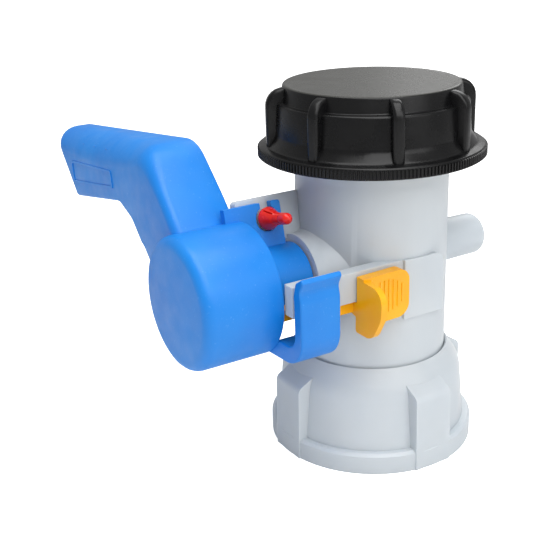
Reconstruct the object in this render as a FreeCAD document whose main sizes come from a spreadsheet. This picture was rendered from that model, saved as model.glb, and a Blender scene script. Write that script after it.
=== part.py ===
"""Butterfly valve for the outlet of an intermediate bulk container.

The valve stands on its union nut.  +Z is the flow axis, up towards the capped
outlet, and the origin is the centre of the nut's lower face.  The stem lies
along Y, with the blue handle at -Y, and +X is the side of the locking slide.
Lengths are millimetres and angles are degrees.
"""
import FreeCAD, Part
import math
import os
import Sketcher

Vector = FreeCAD.Vector
Z_UP = Vector(0, 0, 1)

doc = FreeCAD.newDocument("ContainerValve")
sheet = doc.addObject("Spreadsheet::Sheet", "Sizes")


# ---------------------------------------------------------------- sizes

class Size:
    """A number together with the sheet formula that gives it."""

    def __init__(self, value, text):
        self.value = value
        self.text = text

    def __add__(self, other):
        other = as_size(other)
        return Size(self.value + other.value, "(%s + %s)" % (self.text, other.text))

    def __sub__(self, other):
        other = as_size(other)
        return Size(self.value - other.value, "(%s - %s)" % (self.text, other.text))

    def __mul__(self, other):
        other = as_size(other)
        return Size(self.value * other.value, "(%s * %s)" % (self.text, other.text))

    def __truediv__(self, other):
        other = as_size(other)
        return Size(self.value / other.value, "(%s / %s)" % (self.text, other.text))

    def __neg__(self):
        return Size(-self.value, "(0 - %s)" % self.text)

    def __radd__(self, other):
        return as_size(other) + self

    def __rsub__(self, other):
        return as_size(other) - self

    def __rmul__(self, other):
        return as_size(other) * self


def as_size(item):
    """A plain number joins a formula as itself."""
    if isinstance(item, Size):
        return item
    text = "%.6g" % item
    return Size(float(item), text if item >= 0 else "(0 - %.6g)" % -item)


def cosine(angle):
    return Size(math.cos(math.radians(angle.value)), "cos(%s)" % angle.text)


def sine(angle):
    return Size(math.sin(math.radians(angle.value)), "sin(%s)" % angle.text)


def root(square):
    return Size(math.sqrt(square.value), "sqrt(%s)" % square.text)


def size(name, value):
    """Write one driving dimension into the sheet and return it."""
    size.row += 1
    sheet.set("A%d" % size.row, name.replace("_", " "))
    sheet.set("B%d" % size.row, str(value))
    sheet.setAlias("B%d" % size.row, name)
    return Size(float(value), "Sizes." + name)


size.row = 0

# Fits between pieces.
running_gap = size("running_gap", 0.05)
moving_gap = size("moving_gap", 0.4)

# Valve body: a straight tube with a threaded outlet neck.
stem_height = size("stem_height", 71.5)
tube_radius = size("tube_radius", 28.6)
bore_radius = size("bore_radius", 24.0)
tube_foot = size("tube_foot", 28.5)
outlet_rim = size("outlet_rim", 134.8)
neck_foot = size("neck_foot", 112.4)
neck_radius = size("neck_radius", 27.4)
collar_radius = size("collar_radius", 29.9)
bonnet_radius = size("bonnet_radius", 15.7)
bonnet_reach = size("bonnet_reach", 34.1)
bonnet_flare = size("bonnet_flare", 4.0)
stub_radius = size("stub_radius", 8.2)
stub_reach = size("stub_reach", 52.2)
stub_end_wall = size("stub_end_wall", 4.2)

# Union nut and the pieces inside it.
nut_height = size("nut_height", 38.4)
nut_thread_radius = size("nut_thread_radius", 31.0)
nut_thread_depth = size("nut_thread_depth", 25.4)
nut_wall_radius = size("nut_wall_radius", 36.2)
nut_ring_radius = size("nut_ring_radius", 39.7)
nut_ring_height = size("nut_ring_height", 8.0)
nut_lip_thickness = size("nut_lip_thickness", 5.8)
nut_taper = size("nut_taper", 1.4)
lug_half_angle = size("lug_half_angle", 11.5)
lug_shoulder = size("lug_shoulder", 29.0)
snap_ring_height = size("snap_ring_height", 2.6)
snap_ring_radius = size("snap_ring_radius", 30.7)
snap_groove_depth = size("snap_groove_depth", 1.4)
inlet_gasket_thickness = size("inlet_gasket_thickness", 2.6)
gasket_lip_wall = size("gasket_lip_wall", 1.2)
gasket_lip_height = size("gasket_lip_height", 3.0)

# Outlet cap.
cap_foot = size("cap_foot", 112.95)
cap_height = size("cap_height", 26.4)
cap_top_radius = size("cap_top_radius", 32.2)
cap_band_height = size("cap_band_height", 6.3)
cap_wall_radius = size("cap_wall_radius", 35.6)
cap_flange_radius = size("cap_flange_radius", 42.0)
cap_flange_height = size("cap_flange_height", 4.1)
cap_thread_radius = size("cap_thread_radius", 30.2)
cap_rib_radius = size("cap_rib_radius", 39.0)
cap_rib_width = size("cap_rib_width", 4.2)
cap_rib_count = size("cap_rib_count", 8)
cap_rib_angle = size("cap_rib_angle", -23)
cap_gasket_thickness = size("cap_gasket_thickness", 2.0)
cap_gasket_width = size("cap_gasket_width", 5.6)

# Stem, its bushes and seals.
journal_radius = size("journal_radius", 6.5)
shaft_radius = size("shaft_radius", 5.0)
stem_collar_radius = size("stem_collar_radius", 8.2)
stem_collar_length = size("stem_collar_length", 3.0)
drive_square = size("drive_square", 9.0)
seal_ring_section = size("seal_ring_section", 1.6)
gland_radius = size("gland_radius", 9.5)
gland_length = size("gland_length", 4.5)
gland_clip_thickness = size("gland_clip_thickness", 1.0)
pivot_bush_wall = size("pivot_bush_wall", 1.35)
pivot_bush_length = size("pivot_bush_length", 16.0)

# Butterfly disc.
disc_radius = size("disc_radius", 22.9)
disc_thickness = size("disc_thickness", 5.0)
disc_rim_thickness = size("disc_rim_thickness", 3.6)
disc_boss_radius = size("disc_boss_radius", 7.2)
disc_seal_radius = size("disc_seal_radius", 23.7)
disc_seal_height = size("disc_seal_height", 2.2)
disc_seal_depth = size("disc_seal_depth", 1.8)
disc_pin_radius = size("disc_pin_radius", 1.5)
disc_pin_place = size("disc_pin_place", 12.0)

# Handle: a hub cup on a neck, with lever, lock plate and guide hook.
hub_radius = size("hub_radius", 24.1)
hub_face = size("hub_face", 84.2)
hub_rim = size("hub_rim", 54.0)
hub_wall = size("hub_wall", 2.6)
hub_edge_radius = size("hub_edge_radius", 4.0)
hub_rib_thickness = size("hub_rib_thickness", 1.6)
hub_rib_count = size("hub_rib_count", 8)
hub_rib_angle = size("hub_rib_angle", 7.3)
handle_neck_radius = size("handle_neck_radius", 13.1)
handle_neck_bore = size("handle_neck_bore", 9.6)
handle_neck_end = size("handle_neck_end", 34.6)
socket_mouth = size("socket_mouth", 60.0)
socket_floor = size("socket_floor", 78.0)
lean_angle = size("lean_angle", 14)
plate_thickness = size("plate_thickness", 3.0)
plate_radius = size("plate_radius", 29.0)
plate_reach = size("plate_reach", 37.0)
lever_front = size("lever_front", 78.0)
lever_wall = size("lever_wall", 3.0)
lever_edge_radius = size("lever_edge_radius", 5.0)
lever_taper = size("lever_taper", 7.5)
foot_out = size("foot_out", 6.0)
arm_slope = size("arm_slope", 1.087)
knee_out = size("knee_out", 32.0)
knee_up = size("knee_up", 48.6)
tip_out = size("tip_out", 126.3)
tip_up = size("tip_up", 39.4)
heel_out = size("heel_out", 103.8)
heel_up = size("heel_up", 14.2)
palm_out = size("palm_out", 57.5)
palm_up = size("palm_up", 22.6)
elbow_out = size("elbow_out", 46.0)
elbow_up = size("elbow_up", 18.2)
grip_rib_thickness = size("grip_rib_thickness", 2.0)
hook_end = size("hook_end", 38.0)
hook_out = size("hook_out", 34.2)
hook_top = size("hook_top", 13.4)
hook_wall = size("hook_wall", 4.6)
hook_floor = size("hook_floor", 13.6)
hook_drop = size("hook_drop", 19.7)
handle_clip_thickness = size("handle_clip_thickness", 1.0)

# Rail on the body and the locking slide that rides on it.
rail_face = size("rail_face", 28.2)
rail_thickness = size("rail_thickness", 4.8)
rail_top = size("rail_top", 8.5)
rail_foot = size("rail_foot", 2.5)
rail_end = size("rail_end", 53.5)
ear_thickness = size("ear_thickness", 4.0)
ear_radius = size("ear_radius", 30.7)
ear_reach = size("ear_reach", 53.4)
stop_reach = size("stop_reach", 11.0)
stop_drop = size("stop_drop", 14.0)
slide_wall = size("slide_wall", 4.0)
slide_front = size("slide_front", 27.5)
slide_back = size("slide_back", 7.5)
slide_tab_reach = size("slide_tab_reach", 43.0)
slide_tab_thickness = size("slide_tab_thickness", 2.4)
slide_tab_drop = size("slide_tab_drop", 14.0)
slide_arm_end = size("slide_arm_end", 44.0)
tongue_tip = size("tongue_tip", 53.3)
tongue_inside = size("tongue_inside", 15.6)
tongue_outside = size("tongue_outside", 19.9)

# Lock screw through the handle's plate into the body's ear.
screw_radius_out = size("screw_radius_out", 23.0)
screw_reach = size("screw_reach", 43.0)
screw_shank = size("screw_shank", 1.7)
screw_skirt = size("screw_skirt", 4.2)
screw_grip = size("screw_grip", 2.1)
screw_length = size("screw_length", 17.2)

doc.recompute()


# ---------------------------------------------------------------- building helpers

def new_body(name, at_stem=False):
    """A body whose origin is the part's origin or the point on the stem axis above it."""
    body = doc.addObject("PartDesign::Body", name)
    body.Label = name
    if at_stem:
        body.setExpression(".Placement.Base.z", stem_height.text)
    return body


def sketch_on(body, plane, name, rise=0, shift=0, lean=0):
    """A sketch on an origin plane, raised in Z, shifted along the plane's normal, and leant.

    The normals are +Z for XY_Plane, -Y for XZ_Plane and +X for YZ_Plane.
    Only a sketch on YZ_Plane leans, about the Y direction.
    """
    sketch = body.newObject("Sketcher::SketchObject", name)
    face = [item for item in body.Origin.OriginFeatures if item.Role == plane][0]
    sketch.AttachmentSupport = [(face, "")]
    sketch.MapMode = "FlatFace"
    rise, shift, lean = as_size(rise), as_size(shift), as_size(lean)
    if plane == "XY_Plane":
        up, out = as_size(0), rise + shift
    else:
        up, out = rise + shift * sine(lean), shift * cosine(lean)
    turn = FreeCAD.Rotation(Vector(1, 0, 0), -lean.value)
    sketch.AttachmentOffset = FreeCAD.Placement(Vector(0, up.value, out.value), turn)
    sketch.setExpression(".AttachmentOffset.Base.y", up.text)
    sketch.setExpression(".AttachmentOffset.Base.z", out.text)
    if lean.value:
        sketch.setExpression(".AttachmentOffset.Rotation.Angle", (-lean).text)
    return sketch


def fix_point(sketch, geometry, position, u, v):
    """Tie one sketch point to its two formulas."""
    for kind, item in (("DistanceX", u), ("DistanceY", v)):
        index = sketch.addConstraint(
            Sketcher.Constraint(kind, -1, 1, geometry, position, item.value))
        label = "%s_%d" % (kind, index)
        sketch.renameConstraint(index, label)
        sketch.setExpression("Constraints." + label, item.text)


def rounded_corner(corner, before, after, radius):
    """The two tangent points, the centre and the turn of an arc in a corner."""
    to_before = (before - corner).normalize()
    to_after = (after - corner).normalize()
    half = to_before.getAngle(to_after) / 2
    reach = radius / math.tan(half)
    bisector = (to_before + to_after).normalize()
    centre = corner + bisector * (radius / math.sin(half))
    left_turn = (corner - before).cross(after - corner).z > 0
    return corner + to_before * reach, corner + to_after * reach, centre, left_turn


def outline(sketch, corners):
    """A closed outline; a corner is (u, v), or (u, v, radius) where it is rounded."""
    corners = [tuple(as_size(item) for item in corner) for corner in corners]
    points = [Vector(corner[0].value, corner[1].value, 0) for corner in corners]
    count = len(corners)
    arcs = []
    for index, corner in enumerate(corners):
        if len(corner) == 3:
            arcs.append(rounded_corner(points[index], points[index - 1],
                                       points[(index + 1) % count], corner[2].value))
        else:
            arcs.append(None)
    lines = []
    for index in range(count):
        following = (index + 1) % count
        start = arcs[index][1] if arcs[index] else points[index]
        end = arcs[following][0] if arcs[following] else points[following]
        lines.append(sketch.addGeometry(Part.LineSegment(start, end)))
    for index, corner in enumerate(corners):
        line_in, line_out = lines[index - 1], lines[index]
        if arcs[index] is None:
            sketch.addConstraint(Sketcher.Constraint("Coincident", line_in, 2, line_out, 1))
            fix_point(sketch, line_out, 1, corner[0], corner[1])
            continue
        start, end, centre, left_turn = arcs[index]
        circle = Part.Circle(centre, Z_UP, corner[2].value)
        first, last = (start, end) if left_turn else (end, start)
        arc = sketch.addGeometry(
            Part.ArcOfCircle(circle, circle.parameter(first), circle.parameter(last)))
        sides = (1, 2) if left_turn else (2, 1)
        sketch.addConstraint(Sketcher.Constraint("Tangent", line_in, 2, arc, sides[0]))
        sketch.addConstraint(Sketcher.Constraint("Tangent", line_out, 1, arc, sides[1]))
        label = "Radius_%d" % index
        number = sketch.addConstraint(Sketcher.Constraint("Radius", arc, corner[2].value))
        sketch.renameConstraint(number, label)
        sketch.setExpression("Constraints." + label, corner[2].text)
        tip = sketch.addGeometry(Part.Point(points[index]), True)
        fix_point(sketch, tip, 1, corner[0], corner[1])
        sketch.addConstraint(Sketcher.Constraint("PointOnObject", tip, 1, line_in))
        sketch.addConstraint(Sketcher.Constraint("PointOnObject", tip, 1, line_out))
    return sketch


def ring(sketch, u, v, radius):
    """A circle tied to its centre and radius."""
    u, v, radius = as_size(u), as_size(v), as_size(radius)
    circle = Part.Circle(Vector(u.value, v.value, 0), Z_UP, radius.value)
    number = sketch.addGeometry(circle)
    fix_point(sketch, number, 3, u, v)
    index = sketch.addConstraint(Sketcher.Constraint("Radius", number, radius.value))
    label = "Radius_%d" % index
    sketch.renameConstraint(index, label)
    sketch.setExpression("Constraints." + label, radius.text)
    return sketch


def rectangle(sketch, left, right, low, high):
    return outline(sketch, [(left, low), (right, low), (right, high), (left, high)])


def extrude(body, kind, sketch, length, backwards=False, both_ways=False):
    """A Pad or Pocket of the sketch by a length bound to the sheet."""
    feature = body.newObject("PartDesign::" + kind, sketch.Name + "_" + kind.lower())
    feature.Profile = sketch
    feature.setExpression("Length", as_size(length).text)
    feature.Reversed = backwards
    if both_ways:
        feature.SideType = "Symmetric"
    doc.recompute()
    return feature


def turn(body, kind, sketch, angle=360):
    """A Revolution or Groove about the sketch's own vertical axis."""
    feature = body.newObject("PartDesign::" + kind, sketch.Name + "_" + kind.lower())
    feature.Profile = sketch
    feature.ReferenceAxis = (sketch, ["V_Axis"])
    feature.Angle = angle
    doc.recompute()
    return feature


def repeat_round(body, feature, axis_role, count):
    """Equal copies of a feature round an origin axis."""
    pattern = body.newObject("PartDesign::PolarPattern", feature.Name + "_round")
    pattern.Originals = [feature]
    axis = [item for item in body.Origin.OriginFeatures if item.Role == axis_role][0]
    pattern.Axis = (axis, [""])
    pattern.Angle = 360
    pattern.setExpression("Occurrences", as_size(count).text)
    body.Tip = pattern
    doc.recompute()
    return pattern


def round_edges(body, radius, wanted, name):
    """Fillet the edges of the body's tip that the test picks."""
    tip = body.Tip
    names = ["Edge%d" % (index + 1) for index, edge in enumerate(tip.Shape.Edges) if wanted(edge)]
    feature = body.newObject("PartDesign::Fillet", name)
    feature.Base = (tip, names)
    feature.setExpression("Radius", as_size(radius).text)
    doc.recompute()
    return feature


def turned_part(name, corners, along_stem=False, angle=360):
    """A body turned from one profile of (radius, place) corners."""
    body = new_body(name, at_stem=along_stem)
    plane = "XY_Plane" if along_stem else "XZ_Plane"
    sketch = sketch_on(body, plane, name + "_profile")
    outline(sketch, corners)
    turn(body, "Revolution", sketch, angle)
    return body


# ---------------------------------------------------------------- valve body

ring_seat = tube_foot + 1.1
gland_floor = bonnet_reach - gland_clip_thickness * 1.5 - gland_length
pivot_radius = shaft_radius + running_gap + pivot_bush_wall
pivot_floor = stub_reach - stub_end_wall
screw_u = -screw_reach
plate_back = plate_thickness / 2


def make_valve_body():
    body = new_body("valve_body")
    shell = sketch_on(body, "XZ_Plane", "body_shell")
    outline(shell, [
        (0, tube_foot), (tube_radius, tube_foot), (tube_radius, neck_foot - 6),
        (collar_radius, neck_foot - 2.4), (collar_radius, neck_foot),
        (neck_radius, neck_foot), (neck_radius, outlet_rim), (0, outlet_rim)])
    turn(body, "Revolution", shell)

    inside = bore_radius - 4
    bonnet = sketch_on(body, "XY_Plane", "bonnet", rise=stem_height)
    outline(bonnet, [(0, -inside), (bonnet_radius + bonnet_flare, -inside),
                     (bonnet_radius, bonnet_flare - bonnet_reach, 8.0),
                     (bonnet_radius, -bonnet_reach), (0, -bonnet_reach)])
    turn(body, "Revolution", bonnet)

    stub = sketch_on(body, "XY_Plane", "stub", rise=stem_height)
    outline(stub, [(0, inside), (stub_radius + 0.5, inside), (stub_radius + 0.2, tube_radius),
                   (stub_radius, stub_reach, 3.0), (0, stub_reach)])
    turn(body, "Revolution", stub)

    rail = sketch_on(body, "XZ_Plane", "rail", rise=stem_height, shift=4)
    rectangle(rail, rail_face - rail_thickness, rail_face, -rail_foot, rail_top)
    extrude(body, "Pad", rail, rail_end - 4)

    stop = sketch_on(body, "YZ_Plane", "slide_stop", rise=stem_height, shift=inside)
    near = moving_gap * 2 - slide_back
    outline(stop, [(near, -stop_drop), (stop_reach, -stop_drop),
                   (stop_reach, rail_top, 4.0), (near, rail_top)])
    extrude(body, "Pad", stop, tube_radius + 0.7 - inside)

    ear = sketch_on(body, "YZ_Plane", "ear", rise=stem_height, lean=lean_angle,
                    shift=-(plate_back + 0.5 + ear_thickness))
    ear_foot = handle_neck_radius + 1.1
    outline(ear, [(-ear_reach, ear_foot), (-inside, ear_foot), (-inside, ear_radius),
                  (-ear_reach, ear_radius, 1.5)])
    extrude(body, "Pad", ear, ear_thickness)

    bore = sketch_on(body, "XY_Plane", "flow_bore", shift=tube_foot)
    ring(bore, 0, 0, bore_radius)
    extrude(body, "Pocket", bore, outlet_rim - tube_foot, backwards=True)

    groove = sketch_on(body, "XZ_Plane", "snap_groove")
    rectangle(groove, tube_radius - snap_groove_depth, tube_radius + 2,
              ring_seat, ring_seat + snap_ring_height)
    turn(body, "Groove", groove)

    gland = sketch_on(body, "XY_Plane", "gland_bore", rise=stem_height)
    clip_seat = bonnet_reach - gland_clip_thickness * 1.5
    outline(gland, [
        (0, -inside), (0, -bonnet_reach - 1), (gland_radius, -bonnet_reach - 1),
        (gland_radius, -clip_seat - gland_clip_thickness),
        (gland_radius + 0.55, -clip_seat - gland_clip_thickness),
        (gland_radius + 0.55, -clip_seat), (gland_radius, -clip_seat),
        (gland_radius, -gland_floor), (journal_radius + running_gap, -gland_floor),
        (journal_radius + running_gap, -inside)])
    turn(body, "Groove", gland)

    pivot = sketch_on(body, "XY_Plane", "pivot_bore", rise=stem_height)
    rectangle(pivot, 0, pivot_radius, inside, pivot_floor)
    turn(body, "Groove", pivot)

    hole = sketch_on(body, "YZ_Plane", "screw_hole", rise=stem_height, lean=lean_angle,
                     shift=-(plate_back + ear_thickness + 2))
    ring(hole, screw_u, screw_radius_out, screw_shank + running_gap)
    extrude(body, "Pocket", hole, ear_thickness + 4, backwards=True)
    return body


# ---------------------------------------------------------------- union nut and its pieces

def make_union_nut():
    body = new_body("union_nut")
    profile = sketch_on(body, "XZ_Plane", "nut_profile")
    lip_foot = nut_height - nut_lip_thickness
    lip_radius = tube_radius + moving_gap
    relief_radius = nut_thread_radius + 0.5
    outline(profile, [
        (nut_thread_radius, 0), (nut_ring_radius, 0), (nut_ring_radius, nut_ring_height - 1),
        (nut_ring_radius - 1, nut_ring_height), (nut_wall_radius + 0.4, nut_ring_height),
        (nut_wall_radius - nut_taper, nut_height - 8, 12.0), (lip_radius + 0.6, nut_height),
        (lip_radius, nut_height - 0.4), (lip_radius, lip_foot), (relief_radius, lip_foot),
        (relief_radius, nut_thread_depth), (nut_thread_radius, nut_thread_depth)])
    turn(body, "Revolution", profile)

    lug = sketch_on(body, "XZ_Plane", "lug", shift=-(nut_ring_radius * sine(lug_half_angle)))
    outline(lug, [
        (relief_radius + 0.4, 0), (nut_ring_radius - 0.2, 0),
        (nut_ring_radius - 0.6, lug_shoulder, 3.0), (relief_radius + 0.4, lip_foot + 0.3)])
    first = extrude(body, "Pad", lug, nut_ring_radius * sine(lug_half_angle) * 2)
    repeat_round(body, first, "Z_Axis", 4)
    return body


def make_nut_snap_ring():
    low, high = ring_seat, ring_seat + snap_ring_height
    inner = tube_radius - snap_groove_depth
    return turned_part("nut_snap_ring", [
        (inner, low), (snap_ring_radius, low), (snap_ring_radius, high), (inner, high)], angle=348)


def make_inlet_gasket():
    foot = tube_foot - inlet_gasket_thickness
    return turned_part("inlet_gasket", [
        (bore_radius - gasket_lip_wall, foot), (nut_thread_radius - 0.5, foot),
        (nut_thread_radius - 0.5, tube_foot), (bore_radius, tube_foot),
        (bore_radius, tube_foot + gasket_lip_height),
        (bore_radius - gasket_lip_wall, tube_foot + gasket_lip_height)])


# ---------------------------------------------------------------- outlet cap

cap_top = cap_foot + cap_height


def make_outlet_cap():
    body = new_body("outlet_cap")
    profile = sketch_on(body, "XZ_Plane", "cap_profile")
    ceiling = outlet_rim + cap_gasket_thickness
    outline(profile, [
        (0, ceiling), (cap_thread_radius, ceiling), (cap_thread_radius, cap_foot),
        (cap_flange_radius, cap_foot), (cap_flange_radius, cap_foot + cap_flange_height),
        (cap_wall_radius + 2.6, cap_foot + cap_flange_height + 0.6),
        (cap_wall_radius + 0.3, cap_foot + cap_flange_height + 4, 4.0),
        (cap_wall_radius - 0.4, cap_top - cap_band_height),
        (cap_top_radius + 0.9, cap_top - cap_band_height + 0.4),
        (cap_top_radius + 0.3, cap_top - 0.7), (cap_top_radius - 0.4, cap_top), (0, cap_top)])
    turn(body, "Revolution", profile)

    rib = sketch_on(body, "XZ_Plane", "cap_rib")
    outline(rib, [
        (cap_thread_radius + 1, cap_foot + 1), (cap_rib_radius, cap_foot + 1),
        (cap_rib_radius, cap_top - 0.9, 6.5), (cap_thread_radius + 1, cap_top - 0.9)])
    first = extrude(body, "Pad", rib, cap_rib_width, both_ways=True)
    repeat_round(body, first, "Z_Axis", cap_rib_count)
    body.Placement.Rotation = FreeCAD.Rotation(Z_UP, cap_rib_angle.value)
    body.setExpression(".Placement.Rotation.Angle", cap_rib_angle.text)
    return body


def make_cap_gasket():
    outer = neck_radius + 2.2
    return turned_part("cap_gasket", [
        (outer - cap_gasket_width, outlet_rim), (outer, outlet_rim),
        (outer, outlet_rim + cap_gasket_thickness),
        (outer - cap_gasket_width, outlet_rim + cap_gasket_thickness)])


# ---------------------------------------------------------------- stem, seals and bushes

inner_seal_place = bore_radius + 1.9
outer_seal_place = gland_floor + gland_length / 2
journal_start = bore_radius + 0.2
seal_groove_radius = journal_radius - seal_ring_section - running_gap
seal_ring_radius = journal_radius - seal_ring_section / 2 - 0.03


def seal_groove(place):
    """The four corners of one O-ring groove, walking towards -Y."""
    near, far = -(place - 1), -(place + 1)
    return [(journal_radius, near), (seal_groove_radius, near),
            (seal_groove_radius, far), (journal_radius, far)]


def make_stem():
    body = new_body("stem", at_stem=True)
    profile = sketch_on(body, "XY_Plane", "stem_profile")
    stem_end = pivot_floor - 1
    outline(profile, [(0, stem_end), (shaft_radius - 0.8, stem_end), (shaft_radius, stem_end - 0.8),
                      (shaft_radius, -journal_start), (journal_radius, -journal_start)]
            + seal_groove(inner_seal_place) + seal_groove(outer_seal_place)
            + [(journal_radius, -socket_mouth + stem_collar_length),
               (stem_collar_radius, -socket_mouth + stem_collar_length),
               (stem_collar_radius, -socket_mouth), (0, -socket_mouth)])
    turn(body, "Revolution", profile)

    square = sketch_on(body, "XZ_Plane", "drive_end", shift=socket_mouth - 1)
    half = drive_square / 2
    outline(square, [(-half, -half, 0.6), (half, -half, 0.6), (half, half, 0.6), (-half, half, 0.6)])
    extrude(body, "Pad", square, socket_floor - socket_mouth + 1 - moving_gap)

    pin_hole = sketch_on(body, "XY_Plane", "stem_pin_hole")
    ring(pin_hole, 0, -disc_pin_place, disc_pin_radius)
    extrude(body, "Pocket", pin_hole, disc_boss_radius * 2 + 2, both_ways=True)
    return body


def make_o_ring(name, place):
    """An O-ring with an eight sided section, a little clear of its groove and bore."""
    half = seal_ring_section / 2
    corners = []
    for step in range(8):
        angle = as_size(22.5 + 45 * step)
        corners.append((seal_ring_radius + half * cosine(angle), half * sine(angle) - place))
    return turned_part(name, corners, along_stem=True)


def make_gland_bush():
    inner = journal_radius + running_gap
    return turned_part("gland_bush", [
        (inner, -gland_floor), (gland_radius, -gland_floor),
        (gland_radius, -(gland_floor + gland_length)), (inner, -(gland_floor + gland_length))],
        along_stem=True)


def make_gland_clip():
    near = gland_floor + gland_length
    inner = journal_radius + 1.4
    return turned_part("gland_clip", [
        (inner, -near), (gland_radius + 0.5, -near),
        (gland_radius + 0.5, -(near + gland_clip_thickness)), (inner, -(near + gland_clip_thickness))],
        along_stem=True, angle=325)


def make_pivot_bush():
    inner = shaft_radius + running_gap
    start = pivot_floor - 1.5 - pivot_bush_length
    return turned_part("pivot_bush", [
        (inner, start), (pivot_radius, start), (pivot_radius, pivot_floor - 1.5),
        (inner, pivot_floor - 1.5)], along_stem=True)


# ---------------------------------------------------------------- butterfly disc

seal_seat = disc_seal_radius - disc_seal_depth
disc_boss_half = root((seal_seat - 0.1) * (seal_seat - 0.1) - disc_boss_radius * disc_boss_radius)
seal_eye_end = root((disc_seal_radius - 0.05) * (disc_seal_radius - 0.05)
                    - disc_boss_radius * disc_boss_radius)


def make_butterfly_disc():
    body = new_body("butterfly_disc", at_stem=True)
    profile = sketch_on(body, "XZ_Plane", "disc_profile")
    half, rim, groove = disc_thickness / 2, disc_rim_thickness / 2, disc_seal_height / 2
    outline(profile, [
        (0, -half), (disc_radius * 0.6, -half), (disc_radius, -rim), (disc_radius, -groove),
        (seal_seat, -groove), (seal_seat, groove), (disc_radius, groove), (disc_radius, rim),
        (disc_radius * 0.6, half), (0, half)])
    turn(body, "Revolution", profile)

    boss = sketch_on(body, "XZ_Plane", "disc_boss", shift=-disc_boss_half)
    ring(boss, 0, 0, disc_boss_radius)
    extrude(body, "Pad", boss, disc_boss_half * 2)
    for name, start, backwards in (("near_recess", disc_boss_half, False),
                                   ("far_recess", -disc_boss_half, True)):
        recess = sketch_on(body, "XZ_Plane", name, shift=start)
        ring(recess, 0, 0, disc_boss_radius + 0.05)
        extrude(body, "Pocket", recess, 4, backwards=not backwards)

    shaft = sketch_on(body, "XZ_Plane", "disc_shaft_bore", shift=-bore_radius)
    ring(shaft, 0, 0, shaft_radius + running_gap)
    extrude(body, "Pocket", shaft, bore_radius * 2, backwards=True)

    pin_hole = sketch_on(body, "XY_Plane", "disc_pin_hole")
    ring(pin_hole, 0, -disc_pin_place, disc_pin_radius)
    extrude(body, "Pocket", pin_hole, disc_boss_radius * 2 + 2, both_ways=True)
    return body


def make_disc_seal_ring():
    body = new_body("disc_seal_ring", at_stem=True)
    profile = sketch_on(body, "XZ_Plane", "seal_profile")
    half = disc_seal_height / 2
    edge = disc_seal_radius - 0.4
    outline(profile, [(seal_seat, -half), (edge, -half), (disc_seal_radius, 0.4 - half),
                      (disc_seal_radius, half - 0.4), (edge, half), (seal_seat, half)])
    turn(body, "Revolution", profile)
    for name, start, backwards in (("near_eye", disc_boss_half, False),
                                   ("far_eye", -disc_boss_half, True)):
        eye = sketch_on(body, "XZ_Plane", name, shift=start)
        ring(eye, 0, 0, disc_boss_radius)
        extrude(body, "Pad", eye, seal_eye_end - disc_boss_half, backwards=backwards)
    shaft = sketch_on(body, "XZ_Plane", "seal_shaft_hole", shift=-bore_radius)
    ring(shaft, 0, 0, shaft_radius + running_gap)
    extrude(body, "Pocket", shaft, bore_radius * 2, backwards=True)
    return body


def make_disc_pin():
    body = new_body("disc_pin", at_stem=True)
    sketch = sketch_on(body, "XY_Plane", "pin_section")
    ring(sketch, 0, -disc_pin_place, disc_pin_radius)
    extrude(body, "Pad", sketch, disc_boss_radius * 2 - 0.4, both_ways=True)
    return body


# ---------------------------------------------------------------- handle

def make_lever(body):
    """The cranked lever: an open channel, closed in front, behind, outside and at its tip."""
    foot_up = knee_up - (knee_out - foot_out) * arm_slope
    lever = sketch_on(body, "XZ_Plane", "lever", shift=hub_rim)
    outline(lever, [
        (-foot_out, foot_up), (-knee_out, knee_up, 14.0), (-tip_out, tip_up),
        (-heel_out, heel_up, 3.0), (-palm_out, palm_up, 5.0),
        (-elbow_out, elbow_up, 8.0), (-24, -3.8), (-16, -6)])
    extrude(body, "Pad", lever, lever_front - hub_rim)

    slant = sketch_on(body, "XY_Plane", "lever_slant")
    beyond = tip_out + 20
    outline(slant, [(-hub_radius, -hub_rim), (-beyond, -hub_rim - lever_taper * 1.2),
                    (-beyond, -hub_rim + 20), (-hub_radius, -hub_rim + 20)])
    extrude(body, "Pocket", slant, knee_up * 3, both_ways=True)

    def outer_front(edge):
        box = edge.BoundBox
        in_front = abs(box.YMin + lever_front.value) < 0.01 and abs(box.YMax + lever_front.value) < 0.01
        middle = edge.valueAt((edge.FirstParameter + edge.LastParameter) / 2)
        return in_front and middle.z > knee_up.value * 0.6 and middle.x > -tip_out.value * 0.9

    round_edges(body, lever_edge_radius, outer_front, "lever_round")

    wall = lever_wall
    inside_back = hub_rim + lever_taper + wall
    channel = sketch_on(body, "XZ_Plane", "lever_channel", shift=inside_back)
    outline(channel, [
        (-foot_out - wall * 0.7, foot_up - wall * 1.6), (-knee_out - wall * 0.1, knee_up - wall * 1.25, 11.0),
        (-tip_out + wall * 1.9, tip_up - wall * 0.75), (-heel_out + wall * 1.2, heel_up - 6),
        (-palm_out, palm_up - 8), (-24, -12), (-12, -6)])
    extrude(body, "Pocket", channel, lever_front - inside_back - wall, backwards=True)

    for index, place in enumerate((0.28, 0.55, 0.80)):
        out = palm_out + (heel_out - palm_out) * place
        low = palm_up + (heel_up - palm_up) * place + 2.5
        high = knee_up + (tip_up - knee_up) * ((out - knee_out) / (tip_out - knee_out)) - 1.5
        rib = sketch_on(body, "XZ_Plane", "grip_rib_%d" % (index + 1), shift=inside_back - 1.5)
        half = grip_rib_thickness / 2
        rectangle(rib, -out - half, -out + half, low, high)
        extrude(body, "Pad", rib, lever_front - inside_back - wall + 3)


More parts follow.
